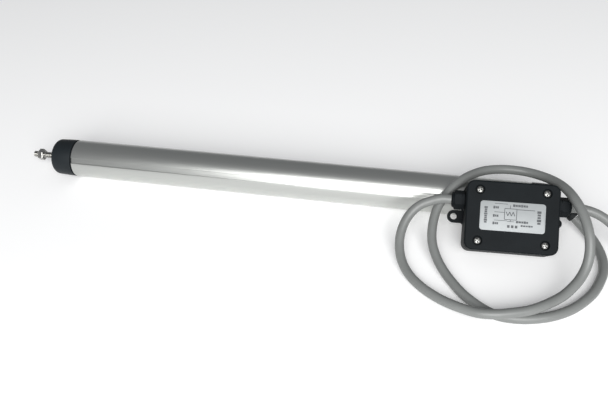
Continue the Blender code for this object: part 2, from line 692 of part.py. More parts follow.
def build_box():
    frame = bpy.data.objects.new("control_box_frame", None)
    PARTS.objects.link(frame)
    frame.rotation_euler = (math.radians(BOX_TILT), 0.0, math.radians(BOX_YAW))
    # the frame's origin is the middle of the box's back face; X runs along the box, Z out through the lid
    frame.location = at_table(BOX_STATION, BOX_FOOT_Y, BOX_FOOT_Z)
    bpy.context.view_layer.update()
    up = frame.rotation_euler.to_matrix() @ Vector((0.0, BOX_HEIGHT / 2 * MM, 0.0))
    frame.location = frame.location + up
    bpy.context.view_layer.update()

    outline = rounded_rectangle(BOX_LENGTH, BOX_HEIGHT, BOX_CORNER)
    inside = rounded_rectangle(BOX_LENGTH - 2 * BOX_WALL, BOX_HEIGHT - 2 * BOX_WALL, BOX_CORNER - BOX_WALL)
    corners = [(sx * SCREW_SPACING[0] / 2, sy * SCREW_SPACING[1] / 2) for sx in (-1, 1) for sy in (-1, 1)]

    base = box_prism("box_base", [outline], 0.0, BASE_TOP, BLACK_PLASTIC, frame)
    cavity = box_prism("base_cavity", [inside], 2.2, BASE_TOP + 2.0, None, frame, CUTTERS)
    cut(base, cavity)
    bosses = in_box(rods("base_bosses", [(x, y, 3.8, 1.0, BASE_TOP - 0.3) for x, y in corners], segments=12), frame)
    cut(base, bosses, "UNION")
    for side, name in ((-1, "ear_left"), (1, "ear_right")):
        ear = box_prism(name, [ear_outline(side)], 0.02, EAR_THICK, None, frame, CUTTERS)
        cut(base, ear, "UNION")
    drilled = [(x, y, 1.6, 6.0, BASE_TOP + 2.0) for x, y in corners]
    drilled += [(side * (BOX_LENGTH / 2 + reach), 0.0, hole_r, -2.0, EAR_THICK + 2.0)
                for side, (reach, _, hole_r) in EARS.items()]
    cut(base, in_box(rods("base_holes", drilled, segments=12), frame))
    port = rods("gland_ports", [(-GLAND_DEPTH, GLAND_HEIGHT, 6.0, side * BOX_LENGTH / 2 - 5.0,
                                 side * BOX_LENGTH / 2 + 5.0) for side in (-1, 1)], segments=20)
    port.rotation_euler = (0.0, math.radians(90.0), 0.0)
    cut(base, in_box(port, frame))

    lid = box_prism("box_lid", [outline], LID_BOTTOM, LID_TOP, BLACK_PLASTIC, frame)
    hollow = box_prism("lid_hollow", [inside], LID_BOTTOM - 2.0, LID_TOP - 2.0, None, frame, CUTTERS)
    cut(lid, hollow)
    pads = in_box(rods("lid_bosses", [(x, y, 4.7, LID_BOTTOM + 0.4, LID_TOP - 1.0) for x, y in corners],
                       segments=12), frame)
    cut(lid, pads, "UNION")
    sunk = [(x, y, 3.7, LID_TOP - 2.3, LID_TOP + 2.0) for x, y in corners]
    cut(lid, in_box(rods("lid_counterbores", sunk, segments=16), frame))
    through = [(x, y, 1.6, LID_BOTTOM - 2.0, LID_TOP - 2.0) for x, y in corners]
    cut(lid, in_box(rods("lid_holes", through, segments=12), frame))
    box_prism(
        "lid_gasket",
        [
            rounded_rectangle(BOX_LENGTH - 0.8, BOX_HEIGHT - 0.8, BOX_CORNER - 0.4),
            rounded_rectangle(BOX_LENGTH - 3.6, BOX_HEIGHT - 3.6, BOX_CORNER - 1.8),
        ],
        BASE_TOP + GAP, LID_BOTTOM - GAP, RUBBER, frame,
    )
    for i, (x, y) in enumerate(corners):
        head = rods(f"lid_screw_{i + 1}", [(x, y, 2.85, LID_TOP - 1.95, LID_TOP + 0.1)],
                    STAINLESS_STEEL, PARTS, 16)
        in_box(head, frame)
        shank = in_box(rods(f"screw_shank_{i + 1}", [(x, y, 1.3, 9.0, LID_TOP - 1.0)], segments=8), frame)
        cut(head, shank, "UNION")
    box_prism("circuit_board", [rounded_rectangle(43.0, 50.0, 1.0, 1)], 6.0, 7.6, BOARD_GREEN, frame)
    box_prism("terminal_block", [rounded_rectangle(9.0, 34.0, 0.8, 1, (-12.0, 0.0))], 7.9, 17.6,
              WHITE_PLASTIC, frame)
    box_prism("label_plate", [rounded_rectangle(*LABEL_SIZE, 2.4, 3)], LID_TOP + 0.2, LID_TOP + 0.5,
              LABEL_GREY, frame)
    for side, name in ((-1, "gland_left"), (1, "gland_right")):
        wall = BOX_LENGTH / 2 + GAP
        tip = wall + GLAND_LENGTH
        low, high = sorted((side * wall, side * tip))
        hexagon = rods(name, [(-GLAND_DEPTH, GLAND_HEIGHT, GLAND_FLATS / math.sqrt(3.0), low, high)],
                       BLACK_PLASTIC, PARTS, 6)
        hexagon.rotation_euler = (0.0, math.radians(90.0), 0.0)
        in_box(hexagon, frame)
        low, high = sorted((side * (wall - 6.0), side * (wall + 2.0)))
        shank = rods(name + "_shank", [(-GLAND_DEPTH, GLAND_HEIGHT, 5.7, low, high)], segments=20)
        shank.rotation_euler = (0.0, math.radians(90.0), 0.0)
        cut(hexagon, in_box(shank, frame), "UNION")
    return frame


# ---------------------------------------------------------------- cables
ACTUATOR_ROUTE = (
    (496.2, -8.4, 12.3), (500.5, -12, 9.8), (505.5, -17.5, 7.4), (511, -26, 5.2), (514.5, -35, 4.4),
    (516.5, -45, 4.3), (516.5, -56, 4.3), (514, -68, 4.3), (505, -87, 4.3), (490, -104, 4.3),
    (473, -115, 4.3), (455, -121, 4.3), (440, -122.5, 4.3), (429, -121, 4.3), (418, -115.5, 4.3),
    (404, -104, 4.3), (392, -89, 4.8), (384, -77, 7), (379, -67, 10), (376, -58, 13.5), (375, -49, 17.5),
    (375.5, -39.5, 22), (377.5, -30.5, 27.2), (382, -22, 32.6), (388.5, -13.8, 37.6), (396.2, -6, 41.3),
    (405, 1, 43), (416, 8, 43), (430, 13.4, 41.6), (444, 14.8, 40.8), (456.5, 12, 41.4), (467.3, 5.2, 43.4),
    (475.8, -5, 46.8), (481.6, -17.2, 50.4), (486, -30, 52.4), (490.5, -41.5, 51.1), (494.5, -52, 46.6),
    (497.2, -61.5, 40.5), (498.2, -69.5, 32.8), (497, -77, 25.4), (492.8, -85.5, 19.4), (486, -94.5, 15.6),
    (476, -104.5, 13.2), (457, -118, 12.9), (439, -125, 13), (425, -128, 12.7), (411, -126, 10.5),
    (391, -116, 6), (376, -106, 4.3), (365, -96.5, 4.4), (357, -86.5, 5.2), (352, -76.5, 7.2),
    (349.4, -67.5, 10.4), (348.6, -58.8, 14.6), (349.9, -50.5, 19.6), (353.2, -43.2, 25),
    (358.6, -37.4, 30.2), (365.8, -33.6, 34.4),
)
SUPPLY_ROUTE = (
    (501, -26.8, 38.2), (508.5, -27.8, 36), (516, -29.6, 32.2), (523.5, -32.2, 27.2), (531, -35.8, 21.5),
    (538, -41, 15.8), (544.2, -48.2, 10.8), (549.6, -56.8, 7.4),
)


def build_cables(frame):
    bpy.context.view_layer.update()
    tip = BOX_LENGTH / 2 + GLAND_LENGTH + 3 * GAP
    left_exit = frame.matrix_world @ (Vector((-tip, GLAND_HEIGHT, GLAND_DEPTH)) * MM)
    right_exit = frame.matrix_world @ (Vector((tip, GLAND_HEIGHT, GLAND_DEPTH)) * MM)
    outward = frame.matrix_world.to_3x3() @ Vector((9.0 * MM, 0.0, 0.0))
    route = [at_table(*place) for place in ACTUATOR_ROUTE]
    route += [left_exit - outward, left_exit]
    tube_along("actuator_cable", smooth_route(route, 15.0 * MM), CABLE_R, CABLE_PVC)
    supply = [right_exit, right_exit + outward * 0.7] + [at_table(*place) for place in SUPPLY_ROUTE]
    tube_along("supply_cable", smooth_route(supply, 10.0 * MM), CABLE_R, CABLE_PVC)

    low = COIL_MEAN_R - COIL_HALF_WIDTH
    high = COIL_MEAN_R + COIL_HALF_WIDTH
    coil = turned(
        "supply_coil",
        [(COIL_BOTTOM, high - 2.0), (COIL_BOTTOM + 2.0, high), (COIL_TOP - 2.0, high), (COIL_TOP, high - 2.0)],
        CABLE_PVC,
        inner=[(COIL_BOTTOM, low + 2.0), (COIL_BOTTOM + 2.0, low), (COIL_TOP - 2.0, low), (COIL_TOP, low + 2.0)],
        segments=28,
    )
    coil.rotation_euler = (0.0, 0.0, 0.0)
    coil.location = at_table(*COIL_CENTRE, 0.0)
    build_coil_tie(low, high)
    # the two bare-ended wires lie on top of the coil, fanning out a little
    for name, finish, side in (("supply_wire_brown", WIRE_BROWN, 1.0), ("supply_wire_blue", WIRE_BLUE, -1.0)):
        points = []
        for step in range(6):
            turn = math.radians(-70.0 + 8.0 * step)
            r = COIL_MEAN_R + side * (1.8 + 0.08 * step * step)
            place = (COIL_CENTRE[0] + r * math.cos(turn), COIL_CENTRE[1] + r * math.sin(turn))
            points.append(at_table(*place, COIL_TOP + GAP + WIRE_R))
        tube_along(name, points, WIRE_R, finish)


def build_coil_tie(low, high):
    """A flat cable tie round the coil's section."""
    middle = (COIL_TOP + COIL_BOTTOM) / 2
    outer = rounded_rectangle(high - low + 2.6, COIL_TOP - COIL_BOTTOM + 2.6, 1.2, 2)
    inner = rounded_rectangle(high - low + 0.6, COIL_TOP - COIL_BOTTOM + 0.6, 0.6, 2)
    tie = prism("coil_tie", [outer, inner], 0.0, 3.6, BLACK_PLASTIC)
    tie.rotation_euler = (math.radians(90.0), 0.0, 0.0)
    tie.location = at_table(COIL_CENTRE[0] + COIL_MEAN_R, COIL_CENTRE[1], middle)


KEY_SLOTS = build_housing()
build_rod(KEY_SLOTS)
build_screw(KEY_SLOTS)
build_gearbox()
build_motor()
BOX_FRAME = build_box()
build_cables(BOX_FRAME)
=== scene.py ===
import json
import math

import bpy
import bmesh
from mathutils import Matrix, Vector


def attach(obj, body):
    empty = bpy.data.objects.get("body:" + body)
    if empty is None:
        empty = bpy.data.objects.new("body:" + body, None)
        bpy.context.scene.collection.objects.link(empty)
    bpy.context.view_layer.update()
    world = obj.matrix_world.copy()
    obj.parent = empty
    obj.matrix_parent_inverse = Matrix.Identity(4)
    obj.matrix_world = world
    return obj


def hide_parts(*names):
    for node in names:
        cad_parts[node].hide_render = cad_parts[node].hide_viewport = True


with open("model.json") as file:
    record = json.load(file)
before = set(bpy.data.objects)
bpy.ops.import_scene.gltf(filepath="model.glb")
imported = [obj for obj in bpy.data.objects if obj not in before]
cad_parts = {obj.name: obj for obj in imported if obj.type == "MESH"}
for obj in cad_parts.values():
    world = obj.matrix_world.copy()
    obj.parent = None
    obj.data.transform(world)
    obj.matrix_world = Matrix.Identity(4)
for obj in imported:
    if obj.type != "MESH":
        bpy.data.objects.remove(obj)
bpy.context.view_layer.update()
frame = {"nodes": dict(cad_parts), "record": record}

# The tube lies along X. A station is the distance in millimetres from the front cap's face.
MM = 0.001
CENTRE_STATION = 236.76
AXIS_Y = 26.6
AXIS_Z = 18.0
ROUND = 96                   # points round a turned part
SHARP = 32.0                 # degrees: an edge that turns more than this stays an edge
TINY = 1e-6
HOUSING = "housing"


def at(station, y=0.0, z=0.0):
    """World point for a station and an offset from the tube's axis, in millimetres."""
    return Vector((station - CENTRE_STATION, AXIS_Y + y, AXIS_Z + z)) * MM


def on_table(station, y, z):
    """World point for a station, a distance behind the axis and a height, in millimetres."""
    return Vector((station - CENTRE_STATION, AXIS_Y + y, z)) * MM


# ---------------------------------------------------------------- camera
CAMERA_PLACE = Vector((0.13164, -0.4480, 0.4326))
CAMERA_AZIMUTH = math.radians(13.82)
CAMERA_ELEVATION = math.radians(42.0)
CAMERA_ROLL = math.radians(3.43)
FOCAL_PIXELS = 680.0
IMAGE_WIDTH = 608.0
SENSOR = 36.0


def build_camera():
    a, e, roll = CAMERA_AZIMUTH, CAMERA_ELEVATION, CAMERA_ROLL
    ahead = Vector((-math.sin(a) * math.cos(e), math.cos(a) * math.cos(e), -math.sin(e)))
    right = Vector((math.cos(a), math.sin(a), 0.0))
    down = ahead.cross(right)
    across = right * math.cos(roll) + down * math.sin(roll)
    lower = down * math.cos(roll) - right * math.sin(roll)
    data = bpy.data.cameras.new("camera")
    data.sensor_fit = "HORIZONTAL"
    data.sensor_width = SENSOR
    data.lens = FOCAL_PIXELS / IMAGE_WIDTH * SENSOR
    data.clip_start = 0.01
    camera = bpy.data.objects.new("camera", data)
    bpy.context.scene.collection.objects.link(camera)
    camera.matrix_world = Matrix((
        (across.x, -lower.x, -ahead.x, CAMERA_PLACE.x),
        (across.y, -lower.y, -ahead.y, CAMERA_PLACE.y),
        (across.z, -lower.z, -ahead.z, CAMERA_PLACE.z),
        (0.0, 0.0, 0.0, 1.0),
    ))
    bpy.context.scene.camera = camera


# ---------------------------------------------------------------- materials
def mottled(name, colour, rough, metal=0.0, scale=90.0, stretch=(1.0, 1.0, 1.0), vary=0.12, rough_vary=0.1,
            grain=1400.0, bump=0.15, depth=0.00006, specular=0.5, fine_stretch=None):
    """A surface with uneven colour and gloss, and a fine grain in its relief."""
    material = bpy.data.materials.new(name)
    material.use_nodes = True
    nodes = material.node_tree.nodes
    links = material.node_tree.links
    shader = nodes["Principled BSDF"]
    shader.inputs["Metallic"].default_value = metal
    shader.inputs["Specular IOR Level"].default_value = specular
    place = nodes.new("ShaderNodeTexCoord")

    def noise(size, stretched, detail):
        spread = nodes.new("ShaderNodeMapping")
        spread.inputs["Scale"].default_value = stretched
        links.new(place.outputs["Object"], spread.inputs["Vector"])
        field = nodes.new("ShaderNodeTexNoise")
        field.inputs["Scale"].default_value = size
        field.inputs["Detail"].default_value = detail
        links.new(spread.outputs["Vector"], field.inputs["Vector"])
        return field

    broad = noise(scale, stretch, 4.0)
    tint = nodes.new("ShaderNodeValToRGB")
    tint.color_ramp.elements[0].position = 0.3
    tint.color_ramp.elements[0].color = (*[c * (1.0 - vary) for c in colour], 1.0)
    tint.color_ramp.elements[1].position = 0.7
    tint.color_ramp.elements[1].color = (*[min(1.0, c * (1.0 + vary)) for c in colour], 1.0)
    links.new(broad.outputs["Fac"], tint.inputs["Fac"])
    links.new(tint.outputs["Color"], shader.inputs["Base Color"])

    gloss = nodes.new("ShaderNodeMapRange")
    gloss.inputs["From Min"].default_value = 0.3
    gloss.inputs["From Max"].default_value = 0.7
    gloss.inputs["To Min"].default_value = rough * (1.0 - rough_vary)
    gloss.inputs["To Max"].default_value = rough * (1.0 + rough_vary)
    fine = noise(grain, fine_stretch or stretch, 3.0)
    links.new(fine.outputs["Fac"], gloss.inputs["Value"])
    links.new(gloss.outputs["Result"], shader.inputs["Roughness"])

    relief = nodes.new("ShaderNodeBump")
    relief.inputs["Strength"].default_value = bump
    relief.inputs["Distance"].default_value = depth
    links.new(fine.outputs["Fac"], relief.inputs["Height"])
    links.new(relief.outputs["Normal"], shader.inputs["Normal"])
    return material


ALONG = (0.03, 1.0, 1.0)      # a grain drawn or extruded along the tube
TURNED = (1.0, 0.2, 0.2)      # fine marks left by turning
MOULDED = {"scale": 45.0, "vary": 0.18, "rough_vary": 0.14, "grain": 1900.0, "bump": 0.22, "depth": 0.00005}
LOOKS = {
    "anodised": mottled("anodised_aluminium", (0.575, 0.585, 0.565), 0.36, metal=1.0, scale=60.0,
                        stretch=(0.05, 1.0, 1.0), vary=0.035, rough_vary=0.10, grain=2600.0, bump=0.10,
                        depth=0.00003, fine_stretch=ALONG),
    "black_plastic": mottled("moulded_black", (0.0068, 0.0088, 0.0102), 0.55, specular=0.085, **MOULDED),
    "cap_black": mottled("turned_black", (0.0100, 0.0135, 0.0160), 0.5, specular=0.22, **MOULDED),
    "screw_steel": mottled("zinc_plated_steel", (0.27, 0.27, 0.26), 0.36, metal=1.0, scale=300.0, vary=0.12,
                           rough_vary=0.25, grain=2400.0, bump=0.2, depth=0.00004),
    "white_plastic": mottled("nylon", (0.74, 0.74, 0.70), 0.45, scale=70.0, vary=0.04, grain=900.0, bump=0.1),
    "stainless": mottled("stainless_steel", (0.46, 0.455, 0.435), 0.27, metal=1.0, scale=300.0,
                         stretch=TURNED, vary=0.07, rough_vary=0.2, grain=2400.0, bump=0.12, depth=0.00003),
    "steel": mottled("bare_steel", (0.42, 0.42, 0.43), 0.36, metal=1.0, scale=200.0, stretch=TURNED,
                     vary=0.08, rough_vary=0.2, grain=1800.0, bump=0.15),
    "bronze": mottled("sintered_bronze", (0.52, 0.36, 0.17), 0.42, metal=1.0, scale=220.0, vary=0.12,
                      grain=2600.0, bump=0.25),
    "copper": mottled("copper_wire", (0.74, 0.34, 0.18), 0.32, metal=1.0, scale=260.0, vary=0.1,
                      grain=1500.0, bump=0.3),
    "rubber": mottled("black_rubber", (0.012, 0.014, 0.015), 0.62, scale=60.0, vary=0.2, grain=1500.0,
                      bump=0.25, specular=0.25),
    "ferrite": mottled("ferrite", (0.07, 0.07, 0.075), 0.6, metal=0.2, scale=150.0, vary=0.15,
                       grain=2200.0, bump=0.3),
    "carbon": mottled("carbon", (0.05, 0.05, 0.055), 0.5, metal=0.3, scale=150.0, vary=0.15,
                      grain=2200.0, bump=0.3),
    "board": mottled("circuit_board", (0.03, 0.17, 0.08), 0.4, scale=120.0, vary=0.12,
                     grain=1000.0, bump=0.15),
    "label": mottled("label_foil", (0.305, 0.322, 0.327), 0.46, metal=0.1, scale=60.0, vary=0.05,
                     grain=900.0, bump=0.05),
    "cable_pvc": mottled("cable_jacket", (0.185, 0.192, 0.187), 0.40, scale=35.0, vary=0.09, rough_vary=0.12,
                         grain=700.0, bump=0.12, depth=0.00008),
    "wire_brown": mottled("brown_insulation", (0.17, 0.07, 0.035), 0.42, vary=0.1),
    "wire_blue": mottled("blue_insulation", (0.03, 0.11, 0.36), 0.42, vary=0.1),
    "ink": mottled("printing_ink", (0.05, 0.055, 0.06), 0.5, scale=500.0, vary=0.35, grain=2500.0, bump=0.05),
}
# the end caps share the box's slot, but shine more
OWN_LOOKS = {"front_cap_shell": "cap_black", "rear_cap_shell": "cap_black"}


def finish_nodes():
    """Gives every node of the CAD model the look of its slot."""
    for part in frame["record"]["subparts"]:
        data = frame["nodes"][part["node"]].data
        data.materials.clear()
        data.materials.append(LOOKS[part["material_slot"]])


# ---------------------------------------------------------------- shape makers
def make(name, points, faces, slot, body=HOUSING, sharp=SHARP, outward=True):
    """A piece from points in metres, smoothed except at its edges, that rides on a body."""
    mesh = bpy.data.meshes.new(name)
    mesh.from_pydata(points, [], faces)
    shape = bmesh.new()
    shape.from_mesh(mesh)
    if outward:
        bmesh.ops.recalc_face_normals(shape, faces=shape.faces)
    shape.to_mesh(mesh)
    shape.free()
    mesh.materials.append(LOOKS[OWN_LOOKS.get(name, slot)])
    mesh.shade_smooth()
    mesh.set_sharp_from_angle(angle=math.radians(sharp))
    piece = bpy.data.objects.new(name, mesh)
    bpy.context.scene.collection.objects.link(piece)
    if body:
        register(piece, body)
    return piece


def register(piece, body=HOUSING):
    """Attaches a piece to the body that it rides on. Printing has no slot of its own."""
    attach(piece, body)


def softened(points, radius, closed=True):
    """The same outline with its corners rounded."""
    nearly_straight = math.radians(12)
    steps = 3
    result = []
    count = len(points)
    for i, point in enumerate(points):
        if not closed and i in (0, count - 1):
            result.append(tuple(point))
            continue
        corner = Vector(point)
        back = Vector(points[i - 1]) - corner
        on = Vector(points[(i + 1) % count]) - corner
        if back.length < TINY or on.length < TINY or back.angle(-on) < nearly_straight:
            result.append(tuple(point))
            continue
        reach = min(radius, 0.45 * back.length, 0.45 * on.length)
        start = corner + back.normalized() * reach
        end = corner + on.normalized() * reach
        for k in range(steps + 1):
            t = k / steps
            result.append(tuple(start * (1 - t) ** 2 + corner * 2 * t * (1 - t) + end * t * t))
    return result


def arc(centre_x, centre_y, radius, start, end, steps):
    turns = [math.radians(start + (end - start) * i / steps) for i in range(steps + 1)]
    return [(centre_x + radius * math.cos(t), centre_y + radius * math.sin(t)) for t in turns]


def ring_faces(loops, closed, cap_ends=True):
    """Faces between loops of point numbers. A loop of one point is a tip."""
    faces = []
    pairs = list(zip(loops, loops[1:])) + ([(loops[-1], loops[0])] if closed else [])
    for a, b in pairs:
        count = max(len(a), len(b))
        for i in range(count):
            j = (i + 1) % count
            corners = [a[i % len(a)], a[j % len(a)], b[j % len(b)], b[i % len(b)]]
            kept = [c for k, c in enumerate(corners) if c not in corners[:k]]
            if len(kept) > 2:
                faces.append(kept)
    if not closed and cap_ends:
        faces += [list(reversed(loop)) for loop in (loops[0],) if len(loop) > 2]
        faces += [loop for loop in (loops[-1],) if len(loop) > 2]
    return faces


def lathe(name, outer, slot, inner=None, body=HOUSING, soft=0.25):
    """A turned piece on the tube's axis, from the (station, radius) pairs of its outside and its bore."""
    profile = list(outer) + (list(reversed(inner)) if inner else [])
    profile = softened(profile, soft, closed=bool(inner))
    points, loops = [], []
    for station, r in profile:
        if r < TINY:
            loops.append([len(points)])
            points.append(at(station))
            continue
        loops.append(list(range(len(points), len(points) + ROUND)))
        for i in range(ROUND):
            turn = math.tau * i / ROUND
            points.append(at(station, r * math.cos(turn), r * math.sin(turn)))
    return make(name, points, ring_faces(loops, closed=bool(inner)), slot, body)


def loft(name, outlines, slot, place, body=HOUSING):
    """A solid through flat outlines, each (height, [(x, y), ...]) in millimetres, in the frame given."""
    points, loops = [], []
    for height, outline in outlines:
        loops.append(list(range(len(points), len(points) + len(outline))))
        points += [place @ (Vector((x, y, height)) * MM) for x, y in outline]
    return make(name, points, ring_faces(loops, closed=False), slot, body)


def sweep(name, line, radii, slot, sides):
    """A round piece that follows points in metres, with a radius in millimetres at each."""
    points, loops = [], []
    side = None
    for i, centre in enumerate(line):
        ahead = (line[min(i + 1, len(line) - 1)] - line[max(i - 1, 0)]).normalized()
        if side is None:
            side = ahead.orthogonal().normalized()
        side = (side - ahead * side.dot(ahead)).normalized()
        other = ahead.cross(side)
        loops.append(list(range(len(points), len(points) + sides)))
        for k in range(sides):
            turn = math.tau * k / sides
            points.append(centre + (side * math.cos(turn) + other * math.sin(turn)) * radii[i] * MM)
    return make(name, points, ring_faces(loops, closed=False), slot, sharp=50.0)


def smooth_route(route, spacing):
    """Evenly spaced points on a Catmull-Rom curve through the route's points."""
    per_span = 16
    ends = [route[0] * 2 - route[1]] + list(route) + [route[-1] * 2 - route[-2]]
    fine = []
    for a, b, c, d in zip(ends, ends[1:], ends[2:], ends[3:]):
        for step in range(per_span):
            t = step / per_span
            fine.append((b * 2 + (c - a) * t + (a * 2 - b * 5 + c * 4 - d) * t * t
                         + (b * 3 - a - c * 3 + d) * t ** 3) / 2)
    fine.append(route[-1])
    lengths = [0.0]
    for a, b in zip(fine, fine[1:]):
        lengths.append(lengths[-1] + (b - a).length)
    count = max(2, round(lengths[-1] / spacing))
    points, place = [], 0
    for i in range(count + 1):
        wanted = lengths[-1] * i / count
        while place < len(fine) - 2 and lengths[place + 1] < wanted:
            place += 1
        span = lengths[place + 1] - lengths[place] or 1.0
        points.append(fine[place].lerp(fine[place + 1], min(1.0, (wanted - lengths[place]) / span)))
    return points


def length_of(points):
    return sum((b - a).length for a, b in zip(points, points[1:]))


def cable(name, points, radius, slot):
    """A round cable as a curve through points in metres."""
    curve = bpy.data.curves.new(name, "CURVE")
    curve.dimensions = "3D"
    curve.bevel_depth = radius * MM
    curve.bevel_resolution = 6
    curve.use_fill_caps = True
    spline = curve.splines.new("POLY")
    spline.points.add(len(points) - 1)
    for point, place in zip(spline.points, points):
        point.co = (*place, 1.0)
    spline.use_smooth = True
    curve.materials.append(LOOKS[slot])
    piece = bpy.data.objects.new(name, curve)
    bpy.context.scene.collection.objects.link(piece)
    register(piece)
    return piece


def carve(piece, cutter, operation="DIFFERENCE"):
    """Cuts or joins one mesh with another, and removes the other."""
    step = piece.modifiers.new("carve", "BOOLEAN")
    step.operation = operation
    step.solver = "EXACT"
    step.object = cutter
    bpy.context.view_layer.update()
    result = bpy.data.meshes.new_from_object(piece.evaluated_get(bpy.context.evaluated_depsgraph_get()))
    piece.modifiers.remove(step)
    old = piece.data
    piece.data = result
    bpy.data.meshes.remove(old)
    result.shade_smooth()
    result.set_sharp_from_angle(angle=math.radians(SHARP))
    bpy.data.objects.remove(cutter)


def even_shading(piece):
    """Keeps broad flat faces flat beside their rounded edges."""
    step = piece.modifiers.new("even_shading", "WEIGHTED_NORMAL")
    step.keep_sharp = True
    step.weight = 90
    return piece


# ---------------------------------------------------------------- control box frame
BOX_TILT = math.radians(41.2)
BOX_YAW = math.radians(2.5)
BOX_LENGTH = 75.0
BOX_HEIGHT = 58.0
BOX_CORNER = 6.5
BOX_FOOT = on_table(438.1, -50.1, 0.4)       # the middle of the lower edge of its back
BOX_TURN = Matrix.Rotation(BOX_YAW, 4, "Z") @ Matrix.Rotation(BOX_TILT, 4, "X")
# local X runs along the box, Y up its back and Z out through its lid, from the middle of its back
BOX = Matrix.Translation(BOX_FOOT) @ BOX_TURN @ Matrix.Translation((0.0, BOX_HEIGHT / 2 * MM, 0.0))
GLAND_V = 12.9               # the glands' axis, up the back and out from it
GLAND_N = 14.6


# ---------------------------------------------------------------- cables
CABLE_R = 4.0
CABLE_STEP = 3.0             # between the points of a drawn cable
# routes in millimetres: station, distance behind the tube's axis (less than 0 is in front), height
ACTUATOR_ROUTE = (
    (496.2, -8.4, 12.3), (500.5, -12, 9.8), (505.5, -17.5, 7.4), (511, -26, 5.2), (514.5, -35, 4.4),
    (516.5, -45, 4.3), (516.5, -56, 4.3), (514, -68, 4.3), (505, -87, 4.3), (490, -104, 4.3),
    (473, -115, 4.3), (455, -121, 4.3), (440, -122.5, 4.3), (429, -121, 4.3), (418, -115.5, 4.3),
    (404, -104, 4.3), (392, -89, 4.8), (384, -77, 7), (379, -67, 10), (376, -58, 13.5), (375, -49, 17.5),
    (375.5, -39.5, 22), (377.5, -30.5, 27.2), (382, -22, 32.6), (388.5, -13.8, 37.6), (396.2, -6, 41.3),
    (405, 1, 43), (416, 8, 43), (430, 13.4, 41.6), (444, 14.8, 40.8), (456.5, 12, 41.4), (467.3, 5.2, 43.4),
    (475.8, -5, 46.8), (481.6, -17.2, 50.4), (486, -30, 52.4), (490.5, -41.5, 51.1), (494.5, -52, 46.6),
    (497.2, -61.5, 40.5), (498.2, -69.5, 32.8), (497, -77, 25.4), (492.8, -85.5, 19.4), (486, -94.5, 15.6),
    (476, -104.5, 13.2), (457, -118, 12.9), (439, -125, 13), (425, -128, 12.7), (411, -126, 10.5),
    (391, -116, 6), (376, -106, 4.3), (365, -96.5, 4.4), (357, -86.5, 5.2), (352, -76.5, 7.2),
    (349.4, -67.5, 10.4), (348.6, -58.8, 14.6), (349.9, -50.5, 19.6), (353.2, -43.2, 25),
    (358.6, -37.4, 30.2), (365.8, -33.6, 34.4),
)
SUPPLY_ROUTE = (
    (501, -26.8, 38.2), (508.5, -27.8, 36), (516, -29.6, 32.2), (523.5, -32.2, 27.2), (531, -35.8, 21.5),
    (538, -41, 15.8), (544.2, -48.2, 10.8), (549.6, -56.8, 7.4), (552.6, -65.5, 6), (554.4, -74, 5.8),
)
EXIT_U = 49.0                # where a cable leaves its gland, along the box
EXIT_STRAIGHT = 9.0          # how far a cable runs straight from its gland
COIL_X, COIL_Y = 602.0, -78.0
COIL_COLUMNS = (39.0, 47.0)  # radii
COIL_ROWS = (5.8, 13.8, 21.8)                # heights
COIL_MEAN_R = 43.0
COIL_HALF = 8.3              # from the middle of the coil's section to its sides, as the tie sees it
COIL_START = 189.0           # degrees
# After five whole turns the last one runs towards this angle in whole steps, and stops at 279 degrees.
COIL_END = 290.0
# The stripped cores. They start at 290 degrees, so the jacket ends about 8 mm short of them.
CORE_START = -70.0
CORE_POINTS = 41
CORE_BARE = 36               # the points from this one on are thinner, as bare wire
WIRE_R = 1.2
BARE_R = 0.75
CORE_Z = 25.7 + 0.3 + WIRE_R
TIE_GAP = 0.3


def coil_line():
    """Points round the coil, bottom layer first. Each turn moves over where it can't cut the others."""
    inner, outer = COIL_COLUMNS
    low, middle, high = COIL_ROWS
    places = [(outer, low), (inner, low), (inner, middle), (outer, middle), (outer, high), (inner, high)]
    per_turn, change, lag = 48, 0.26, 0.07
    points = []
    for number, (r, z) in enumerate(places):
        last = number == len(places) - 1
        first_change = 0.02 if last else 0.64 - lag * number
        turns = (COIL_END - COIL_START) / 360.0 if last else 1.0
        for k in range(round(per_turn * turns)):
            part = k / per_turn
            blend = min(1.0, max(0.0, (part - first_change) / (0.24 if last else change)))
            blend = blend * blend * (3 - 2 * blend)
            if last:
                # it rolls up over the outer turn beside it, to lie between the two columns
                lift = math.radians(60.0) * blend
                radius, height = outer - 2 * CABLE_R * math.cos(lift), z + 2 * CABLE_R * math.sin(lift)
            else:
                next_r, next_z = places[number + 1]
                radius, height = r + (next_r - r) * blend, z + (next_z - z) * blend
            turn = math.radians(COIL_START + 360.0 * part)
            points.append(round_coil(radius, turn, height))
    return points


def round_coil(radius, turn, height):
    return on_table(COIL_X + radius * math.cos(turn), COIL_Y + radius * math.sin(turn), height)


def core_line(side):
    """Points of one stripped core, which drifts away from the other one."""
    points = []
    for step in range(CORE_POINTS):
        part = step / 8
        radius = COIL_MEAN_R + side * (1.8 + 0.08 * part * part)
        points.append(round_coil(radius, math.radians(CORE_START + 8.0 * part), CORE_Z))
    return points


